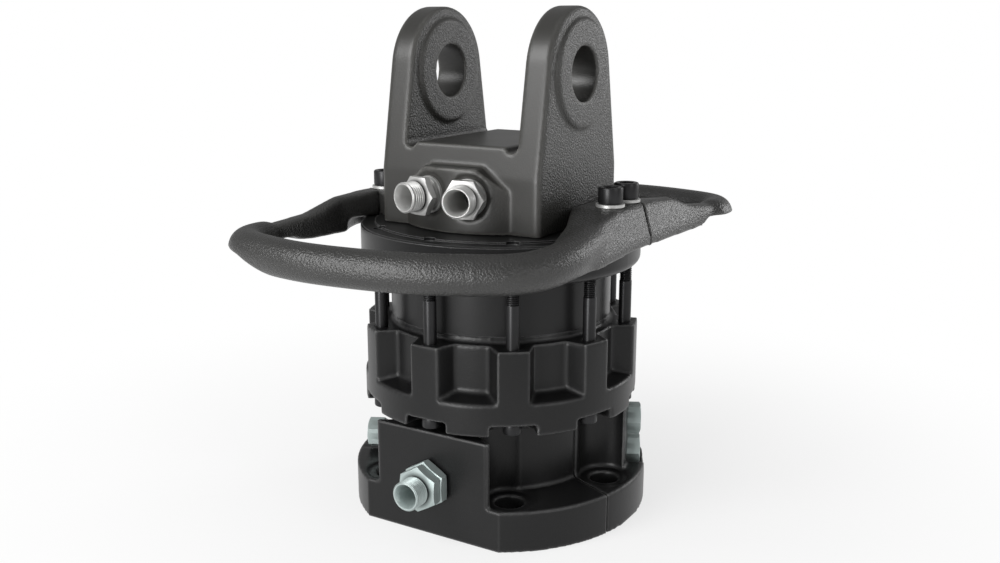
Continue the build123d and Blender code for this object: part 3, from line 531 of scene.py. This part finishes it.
def piece_from(name, bodies, material, carrier, replaced):
    """Joins (bmesh, matrix) pairs into one object, rides it and hides the node that it stands for."""
    mesh = bpy.data.meshes.new(name)
    whole = bmesh.new()
    for body, matrix in bodies:
        part = bpy.data.meshes.new("part")
        body.to_mesh(part)
        body.free()
        part.transform(matrix)
        whole.from_mesh(part)
        bpy.data.meshes.remove(part)
    for face in whole.faces:
        face.smooth = True
    mark_hollows(whole)
    for edge in whole.edges:
        edge.smooth = edge.calc_face_angle(0.0) < SMOOTH_UNDER
    whole.to_mesh(mesh)
    whole.free()
    thing = bpy.data.objects.new(name, mesh)
    bpy.context.scene.collection.objects.link(thing)
    mesh.materials.append(material)
    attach(thing, carrier)
    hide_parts(replaced)
    print(name, "has", len(mesh.polygons), "faces")


# %% [markdown]
# The hose adapters are the bright spots of the photograph. Each has a port thread in
# the casting, a hexagon with dished corners, a runout groove, a hose thread and a wide
# conical mouth. The stations run from the bore up, over the rim and down the outside.

# %% Hose adapters
HOSE_THREAD_R = 11.0
HOSE_THREAD_DEPTH = 1.1
HOSE_PITCH = 1.81
PORT_THREAD_R = 10.4
PORT_THREAD_DEPTH = 0.6
PORT_DEPTH = 13.0
MOUTH_DEPTH = 5.0
MOUTH_WIDENING = 1.5
RUNOUT = 1.8
FINE_RINGS = 8

# Shares of half the width across flats: the neck behind a hexagon, and the circles
# inside which its end is flat, where its dished corners start and where they end.
NECK_SHARE = 0.82
DISH_INSIDE = 0.96
DISH_TOP = 0.985
DISH_FOOT = 1.05


def adapter_hex(across, low, high):
    """Stations of a hexagon with dished corners, from its top down to its foot."""
    return [round_at(across / 2 * DISH_INSIDE, high), hex_at(across, high, across / 2 * DISH_TOP, 0.5),
            hex_at(across, low + 0.5, across / 2 * DISH_FOOT, -0.25), round_at(across / 2 * DISH_INSIDE, low)]


def adapter_body(hexes, thread_l, mouth_r, collar=0.0):
    """Turned adapter, its seat at height 0 and its hose end up; hexes are (across flats, height)."""
    hex_top = collar + sum(height for _, height in hexes)
    top = hex_top + thread_l
    bore = mouth_r - MOUTH_WIDENING
    root = HOSE_THREAD_R - HOSE_THREAD_DEPTH
    stations = [round_at(bore, -PORT_DEPTH), round_at(bore, top - MOUTH_DEPTH), round_at(mouth_r, top - 0.5),
                round_at(mouth_r + 0.4, top), round_at(HOSE_THREAD_R - 1.0, top),
                round_at(HOSE_THREAD_R - 0.4, top - 0.6)]
    stations += thread(HOSE_THREAD_R, HOSE_THREAD_DEPTH, HOSE_PITCH, top - 0.8, hex_top + RUNOUT + 0.1,
                       FINE_RINGS)
    stations += [round_at(root, hex_top + RUNOUT), round_at(root, hex_top + 0.3)]
    level = hex_top
    for across, height in reversed(hexes):
        stations += adapter_hex(across, level - height, level)
        level -= height
    if collar:
        neck = hexes[0][0] / 2 * NECK_SHARE
        stations += [round_at(neck, level), round_at(neck, 0.0)]
    stations += [round_at(PORT_THREAD_R - 0.9, -0.05), round_at(PORT_THREAD_R - 0.9, -1.4),
                 round_at(PORT_THREAD_R - 0.2, -1.9)]
    stations += thread(PORT_THREAD_R - 0.1, PORT_THREAD_DEPTH, HOSE_PITCH, -2.0, -PORT_DEPTH + 1.2, 4)
    stations += [round_at(PORT_THREAD_R - 1.0, -PORT_DEPTH), round_at(bore, -PORT_DEPTH)]
    return grow(stations, 72)


# %% [markdown]
# Two adapters stand side by side on the bracket's front and two on its back. The lower
# flange has a wider one at its front and one at its back, each with two hexagons.

# %% Place the hose adapters
BRACKET_PORT_PSI = 13.0
BRACKET_SEAT_R = 75.5
BRACKET_PORT_Z = 250.5
BRACKET_HEX = (27.0, 6.0)
BRACKET_NECK = 5.0
FLANGE_SEAT_R = 102.0
FLANGE_PORTS = [(0.0, 42.0), (180.0, 50.0)]
FLANGE_HEXES = [(32.0, 8.0), (30.0, 8.0)]

bracket_fittings = []
for back in (0.0, 180.0):
    for side in (-1, 1):
        fitting = adapter_body([BRACKET_HEX], thread_l=12.5, mouth_r=9.2, collar=BRACKET_NECK)
        place = outward(back + side * BRACKET_PORT_PSI, BRACKET_SEAT_R, BRACKET_PORT_Z)
        bracket_fittings.append((fitting, place))
piece_from("bracket_hose_adapters", bracket_fittings, zinc, "head", "bracket_adapters")

flange_fittings = []
for psi, z in FLANGE_PORTS:
    fitting = adapter_body(FLANGE_HEXES, thread_l=14.0, mouth_r=9.0)
    flange_fittings.append((fitting, outward(psi, FLANGE_SEAT_R, z, spin=30.0)))
piece_from("flange_hose_adapters", flange_fittings, green_zinc, "base", "flange_adapters")

# %% [markdown]
# The port at the side of the lower flange isn't in use. A nut with a closed end sits on
# its fitting and keeps dirt out, so this body is a hexagon, a short neck and a second,
# taller hexagon with a shallow round recess in its end.

# %% Closed fitting at the side
SIDE_PSI = -64.0
SIDE_SEAT_R = 76.0
SIDE_PORT_Z = 44.0
SMALL_PITCH = 1.5
SMALL_THREAD_DEPTH = 0.7
RECESS = 0.6


def hex_block(across, low, high):
    """Stations of a hexagon with both ends dished, from its low face to its high one."""
    return [round_at(across / 2 * DISH_INSIDE, low), hex_at(across, low + 0.9, across / 2 * 1.02, -0.35),
            hex_at(across, high, across / 2 * DISH_TOP), round_at(across / 2 * 0.95, high)]


def screwed_end(thread_r, thread_l):
    """Stations of a threaded end, from the point on the axis up to the seat at height 0."""
    stations = [tiny(-thread_l), round_at(thread_r - 1.0, -thread_l)]
    stations += thread(thread_r, SMALL_THREAD_DEPTH, SMALL_PITCH, -thread_l + 1.0, -1.6, 5)
    return stations + [round_at(thread_r - 0.8, -1.2), round_at(thread_r - 0.8, 0.0)]


def capped_body(across, length, hex_h, cap_h, port_r, port_l):
    """Port fitting closed by a cap nut, its seat at height 0 and its cap up."""
    stations = screwed_end(port_r, port_l)
    stations += hex_block(across, 0.0, hex_h)
    stations += [round_at(port_r, hex_h), round_at(port_r, length - cap_h)]
    stations += hex_block(across, length - cap_h, length)
    stations += [round_at(across * 0.26, length), round_at(across * 0.22, length - RECESS),
                 tiny(length - RECESS)]
    return grow(stations, 72)


side_fitting = capped_body(across=22.0, length=32.0, hex_h=10.0, cap_h=14.0, port_r=8.2, port_l=11.0)
side_place = outward(SIDE_PSI, SIDE_SEAT_R, SIDE_PORT_Z, spin=30.0)
piece_from("side_capped_fitting", [(side_fitting, side_place)], green_zinc, "base",
           "side_adapter")

# %% [markdown]
# Socket head cap screws have a knurled head, so that fingers can start them, and a
# hexagon socket with a drilled bottom. The long ones clamp the whole motor together:
# their shanks stand free beside the cam ring and their threads go into the cover.

# %% Cap screws
KNURL_DEPTH = 0.28
SOCKET_SHARE = 0.46
ROOT_PER_PITCH = 0.55


def knurled(radius, height, ridges):
    """A ring of fine straight knurls."""
    def station(angle):
        phase = (angle / math.tau * ridges) % 1.0
        return radius - KNURL_DEPTH * (1.0 - abs(phase * 2 - 1.0)), height
    return station


def cap_screw(shank_d, length, head_d, head_h, key, thread_l, pitch, segments, rings):
    """Socket head cap screw, its seat at height 0 and its shank up."""
    shank_r, head_r = shank_d / 2, head_d / 2
    root = shank_r - pitch * ROOT_PER_PITCH
    ridges = segments // 2
    socket_bottom = -head_h * SOCKET_SHARE
    stations = [tiny(-head_h * 0.42), round_at(key * 0.42, -head_h * 0.45), hex_at(key, socket_bottom),
                hex_at(key, -head_h + 0.35), round_at(key * 0.62, -head_h), round_at(head_r - 0.9, -head_h),
                round_at(head_r - 0.3, -head_h + 0.4), knurled(head_r, -head_h + 0.9, ridges),
                knurled(head_r, -1.3, ridges), round_at(head_r - 0.3, -0.7), round_at(head_r - 0.5, 0.0),
                round_at(shank_r + 0.4, 0.0), round_at(shank_r, 0.5), round_at(shank_r, length - thread_l)]
    stations += thread(shank_r, shank_r - root, pitch, length - thread_l, length - 0.8, rings)
    stations += [round_at(root, length), tiny(length)]
    return grow(stations, segments)


# %% [markdown]
# Ten long screws stand in the notches of the castellated cover. Each half of the guard
# is held by two M12 screws through its pad, and its arm ends at the other half's pad.

# %% Place the cap screws
COVER_SCREWS = 10
COVER_SCREW_R = 97.75
NOTCH_TOP = 92.5
PAD_TOP = 242.0
WASHER_THICK = 2.5
GUARD_SCREW_X = 97.0
GUARD_SCREW_YS = (-8.5, 18.5)

long_screws = []
for k in range(COVER_SCREWS):
    out = direction(360.0 / COVER_SCREWS * k, 0.0)
    screw = cap_screw(shank_d=9.6, length=128.5, head_d=14.0, head_h=8.0, key=7.0, thread_l=42.0,
                      pitch=1.5, segments=36, rings=4)
    long_screws.append((screw, upright(out.x * COVER_SCREW_R, out.y * COVER_SCREW_R, NOTCH_TOP)))
piece_from("cover_long_screws", long_screws, black_oxide, "head", "long_screws")

guard_spots = []
for y in GUARD_SCREW_YS:
    guard_spots += [(GUARD_SCREW_X, y), (-GUARD_SCREW_X, -y)]
guard_caps = []
for x, y in guard_spots:
    screw = cap_screw(shank_d=12.0, length=40.0, head_d=18.0, head_h=12.0, key=10.0, thread_l=34.0,
                      pitch=1.75, segments=72, rings=5)
    guard_caps.append((screw, upright(x, y, PAD_TOP + WASHER_THICK, flip=True)))
piece_from("guard_cap_screws", guard_caps, black_oxide, "head", "guard_screws")

# %% [markdown]
# A flat washer under each guard screw spreads its load on the rough pad. Its rims are
# rounded by stamping, and that rounding is what shows as a thin bright ring.

# %% Washers
WASHER_R = 10.5
WASHER_HOLE_R = 6.5
WASHER_RIM = 0.35


def washer_body(outer, inner, thick, rim):
    """Flat washer with softened rims, standing on height 0."""
    return grow([round_at(inner, rim), round_at(inner + rim, 0.0), round_at(outer - rim, 0.0),
                 round_at(outer, rim), round_at(outer, thick - rim), round_at(outer - rim, thick),
                 round_at(inner + rim, thick), round_at(inner, thick - rim), round_at(inner, rim)], 64)


guard_rings = []
for x, y in guard_spots:
    washer = washer_body(WASHER_R, WASHER_HOLE_R, WASHER_THICK, WASHER_RIM)
    guard_rings.append((washer, upright(x, y, PAD_TOP)))
piece_from("guard_flat_washers", guard_rings, zinc, "head", "guard_washers")

# %% [markdown]
# Two hexagon plugs close drilled oil ways on the right of the rear flange. Their heads
# are dished at both ends, with a shallow round recess in the middle of the outer one.

# %% Plugs
PLUG_PSI = 117.0
PLUG_SEAT_R = 100.0
PLUG_ZS = (37.0, 63.0)


def plug_body(across, head_h, shank_r, shank_l):
    """Hexagon plug with a dished head, its seat at height 0 and its head up."""
    stations = screwed_end(shank_r, shank_l)
    stations += [round_at(across / 2 * 0.97, 0.0), hex_at(across, 0.8, across / 2 * 1.02, -0.35),
                 hex_at(across, head_h, across / 2 * DISH_TOP), round_at(across / 2 * 0.95, head_h),
                 round_at(across / 2 * 0.5, head_h - 0.4), tiny(head_h - 0.4)]
    return grow(stations, 48)


rear_plugs = []
for z in PLUG_ZS:
    plug = plug_body(across=22.0, head_h=12.0, shank_r=8.2, shank_l=11.0)
    rear_plugs.append((plug, outward(PLUG_PSI, PLUG_SEAT_R, z)))
piece_from("rear_hex_plugs", rear_plugs, green_zinc, "base", "rear_port_plugs")

# %% [markdown]
# The castings carry most of the look. Sand moulds give broad soft edges, filled
# corners and a bar that flows into its arm. A copy of each CAD mesh is merged, rebuilt
# as an even skin of small faces, and relaxed: the skin pulls in over sharp edges and
# fills corners, as cast iron does. Where two castings meet, the skin is held still, so
# that the seam between them stays as narrow as it is in the solids.

# %% Soft castings
# Each row: node, new piece, finish, body, slot, skin in mm, relaxing passes.
CASTINGS = [
    ("guard_front", "guard_casting_front", guard_paint, "head", "bracket_black", 1.5, 12),
    ("guard_rear", "guard_casting_rear", guard_paint, "head", "bracket_black", 1.5, 12),
    ("link_bracket", "link_bracket_casting", bracket_paint, "head", "bracket_black", 1.25, 3),
    ("castellated_cover", "castellated_casting", housing_paint, "head", "housing_black", 1.25, 3),
    ("front_flange", "front_flange_casting", housing_paint, "base", "housing_black", 1.25, 2),
    ("rear_flange", "rear_flange_casting", housing_paint, "base", "housing_black", 1.25, 2),
]
SEAM_ANGLE = math.radians(53.0)
SEAM_REACH = 82.3 * MM
SEAM_STRIP = 1.4 * MM
PIN_Z = 335.0 * MM
PIN_RIM = 22.5 * MM


def near_guard_seam(point):
    """True close to either of the upright planes where the guard halves meet."""
    across = abs(point.x * math.cos(SEAM_ANGLE) + point.y * math.sin(SEAM_ANGLE))
    return abs(across - SEAM_REACH) < SEAM_STRIP


def near_pin_bore(point):
    """True in the bore for the link's pin and on its rim."""
    return math.hypot(point.y, point.z - PIN_Z) < PIN_RIM


STILL = {
    "guard_front": near_guard_seam,
    "guard_rear": near_guard_seam,
    "link_bracket": near_pin_bore,
}
print("castings to soften:", [row[0] for row in CASTINGS])

# %% [markdown]
# A skin of small faces loses walls thinner than one face. Two places are that thin: the
# guard's wall beside its pads, and the hub over the end of a clamp hole. A small block
# inside each of them is joined to the rough copy first, and the skin grows over both.

# %% Blocks behind thin walls
# Each block: centre in mm, size in mm, turn about Z in degrees.
GUARD_BLOCKS = [
    ((115.8, -9.0, 219.5), (3.6, 42.0, 11.0), 0.0),
    ((-115.8, -22.0, 219.5), (3.6, 15.0, 11.0), 0.0),
]
HUB_BLOCKS = [
    ((62.1, -38.2, 64.0), (6.0, 6.0, 12.0), -31.6),
    ((-62.1, -38.2, 64.0), (6.0, 6.0, 12.0), 31.6),
]


def half_turned(blocks):
    """The same blocks for the rear half of the guard."""
    return [((-x, -y, z), size, turn) for (x, y, z), size, turn in blocks]


WALL_BLOCKS = {
    "guard_front": GUARD_BLOCKS,
    "guard_rear": half_turned(GUARD_BLOCKS),
    "front_flange": HUB_BLOCKS,
}


def add_wall_blocks(body, node):
    """Joins the node's blocks to its rough copy."""
    for centre, size, turn in WALL_BLOCKS.get(node, []):
        spot = Matrix.Translation(Vector(centre) * MM)
        stretch = Matrix.Diagonal((*(Vector(size) * MM), 1.0))
        place = spot @ Matrix.Rotation(math.radians(turn), 4, "Z") @ stretch
        bmesh.ops.create_cube(body, size=1.0, matrix=place)


print("blocks behind thin walls:", sum(len(blocks) for blocks in WALL_BLOCKS.values()))

# %% [markdown]
# Seen from below, the bar rises towards its tip like the sole of a ski. The solid is
# fuller there, so the low points of the skin are lifted on to that line before the
# skin is relaxed. The rear half is the front one turned by half a turn.

# %% Lift the guard's tips
# The line's points are (x, z) in mm on the front half, whose tip is at the left.
TIP_LINE = [(-150.0, 219.0), (-130.0, 219.0), (-104.0, 216.0), (-72.0, 203.5)]
TIP_START_Y = -111.0 * MM
TIP_TURNS = {"guard_front": 1, "guard_rear": -1}


def tip_height(x):
    """Lowest height of the bar's underside near its tip, in millimetres."""
    for (x0, z0), (x1, z1) in zip(TIP_LINE, TIP_LINE[1:]):
        if x0 <= x <= x1:
            return z0 + (z1 - z0) * (x - x0) / (x1 - x0)
    return 0.0


def lift_tip(body, turn):
    """Raises the skin's low points under the tip and counts them; turn is -1 for the rear half."""
    lifted = 0
    for v in body.verts:
        low = tip_height(v.co.x * turn / MM) * MM
        if v.co.y * turn < TIP_START_Y and v.co.z < low:
            v.co.z = low
            lifted += 1
    return lifted


print("underside of the bar at x -104 mm:", tip_height(-104.0), "mm")

# %% [markdown]
# With these helpers each casting takes the same five steps: copy, join, skin, relax and
# hand over. The passes decide how round its edges get.

# %% Make the castings
MERGE_GAP = 1e-6


def merged_copy(node, name):
    """A connected copy of a CAD node's loose triangles, with its wall blocks."""
    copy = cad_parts[node].data.copy()
    copy.name = name
    merged = bmesh.new()
    merged.from_mesh(copy)
    bmesh.ops.remove_doubles(merged, verts=merged.verts, dist=MERGE_GAP)
    add_wall_blocks(merged, node)
    merged.to_mesh(copy)
    merged.free()
    return copy


def skinned_object(node, name, skin):
    """An object with an even skin of small faces over the node's shape."""
    rough = merged_copy(node, name + "_rough")
    thing = bpy.data.objects.new(name, rough)
    bpy.context.scene.collection.objects.link(thing)
    remesh = thing.modifiers.new("skin", "REMESH")
    remesh.mode = "VOXEL"
    remesh.voxel_size = skin * MM
    evaluated = thing.evaluated_get(bpy.context.evaluated_depsgraph_get())
    skinned = bpy.data.meshes.new_from_object(evaluated)
    thing.modifiers.clear()
    thing.data = skinned
    skinned.name = name
    bpy.data.meshes.remove(rough)
    return thing


def relax(mesh, node, passes):
    """Rounds the skin's edges, and leaves the points that have to stay still."""
    body = bmesh.new()
    body.from_mesh(mesh)
    still = STILL.get(node, lambda point: False)
    free = [v for v in body.verts if not still(v.co)]
    if node in TIP_TURNS:
        print("points lifted at the tip:", lift_tip(body, TIP_TURNS[node]))
    for _ in range(passes):
        bmesh.ops.smooth_vert(body, verts=free, factor=0.5, use_axis_x=True, use_axis_y=True,
                              use_axis_z=True)
    for face in body.faces:
        face.smooth = True
    body.to_mesh(mesh)
    body.free()


def soft_casting(node, name, material, carrier, finish, skin, passes):
    """A relaxed skin over a CAD node: rounded edges and blended corners."""
    thing = skinned_object(node, name, skin)
    relax(thing.data, node, passes)
    dress(thing, material)
    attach(thing, carrier)
    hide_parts(node)
    print(name, "has", len(thing.data.polygons), "faces")


for row in CASTINGS:
    soft_casting(*row)

# %% [markdown]
# The studio is plain. Its floor is pale paint near the part, where it keeps the part's
# shadow, and fades to a white glow with distance. Only rays from the camera and
# reflections see that glow, so the floor sends no extra light on to the part.

# %% Floor
FLOOR_R = 6.0
FADE_START, FADE_END = 0.10, 0.60
NEAREST_WHITE = 0.7

floor_mesh = bpy.data.meshes.new("studio_floor")
sheet = bmesh.new()
bmesh.ops.create_circle(sheet, cap_ends=True, radius=FLOOR_R, segments=96)
sheet.to_mesh(floor_mesh)
sheet.free()
floor = bpy.data.objects.new("studio_floor", floor_mesh)
bpy.context.scene.collection.objects.link(floor)

floor_paint, tree, shader = new_material("studio_floor")
shader.inputs["Base Color"].default_value = (0.86, 0.86, 0.86, 1.0)
shader.inputs["Roughness"].default_value = 0.9
place = tree.nodes.new("ShaderNodeTexCoord")
far = add_node(tree, "ShaderNodeVectorMath", operation="LENGTH")
tree.links.new(place.outputs["Object"], far.inputs[0])
fade = add_node(tree, "ShaderNodeMapRange", interpolation_type="SMOOTHSTEP")
tree.links.new(far.outputs["Value"], fade.inputs["Value"])
fade.inputs["From Min"].default_value = FADE_START
fade.inputs["From Max"].default_value = FADE_END
fade.inputs["To Min"].default_value = NEAREST_WHITE
rays = tree.nodes.new("ShaderNodeLightPath")
seen = math_node(tree, "MAXIMUM", rays.outputs["Is Camera Ray"], rays.outputs["Is Glossy Ray"])
whiteness = math_node(tree, "MULTIPLY", fade.outputs["Result"], seen)
glow = add_node(tree, "ShaderNodeEmission", Color=(1.0, 1.0, 1.0, 1.0), Strength=1.0)
blend = tree.nodes.new("ShaderNodeMixShader")
tree.links.new(whiteness, blend.inputs[0])
tree.links.new(shader.outputs[0], blend.inputs[1])
tree.links.new(glow.outputs[0], blend.inputs[2])
tree.links.new(blend.outputs[0], tree.nodes["Material Output"].inputs["Surface"])
floor_mesh.materials.append(floor_paint)
print("floor fades to white from", FADE_START, "m to", FADE_END, "m")

# %% [markdown]
# The world is white for the camera, so the background is white. Black paint would show
# a white world as a grey veil, so its reflections and the light that it gives are at a
# lower level.

# %% World
WORLD_LEVEL = 0.38

world = bpy.data.worlds.new("studio_world")
bpy.context.scene.world = world
world.use_nodes = True
tree = world.node_tree
sky = tree.nodes["Background"]
sky.inputs["Color"].default_value = (1.0, 1.0, 1.0, 1.0)
rays = tree.nodes.new("ShaderNodeLightPath")
direct = math_node(tree, "MAXIMUM", rays.outputs["Is Camera Ray"], rays.outputs["Is Transmission Ray"])
tree.links.new(math_node(tree, "MAXIMUM", direct, WORLD_LEVEL), sky.inputs["Strength"])
bpy.context.scene.view_settings.view_transform = "Standard"
print("world strength:", WORLD_LEVEL, "as light and 1.0 for the camera")

# %% [markdown]
# Soft round lamps draw the shape. The key stands high at the front left, where the
# slanted faces of the ears mirror it towards the camera. The low front lamp puts the
# long highlight on the guard's bar, and the kicker behind the right side does the same
# for the sides of the ears.

# %% Lamps
# Each row: name, azimuth and elevation in degrees, distance and width in metres, watts.
LAMPS = [
    ("key_softbox", -27.0, 34.0, 1.7, 0.8, 17.0),
    ("front_low", -3.0, 5.0, 2.0, 0.7, 22.0),
    ("side_strip", 78.0, 18.0, 2.0, 0.6, 5.0),
    ("back_kicker", 149.0, 14.0, 1.5, 0.5, 4.8),
    ("top_soft", 10.0, 84.0, 2.0, 1.3, 1.5),
]
for name, azimuth, elevation, distance, width, power in LAMPS:
    light = bpy.data.lights.new(name, "AREA")
    light.shape = "DISK"
    light.size = width
    light.energy = power
    lamp = bpy.data.objects.new(name, light)
    bpy.context.scene.collection.objects.link(lamp)
    lamp.visible_camera = False
    aim(lamp, azimuth, elevation, distance, CAMERA_TARGET)
print("lamps:", [row[0] for row in LAMPS])
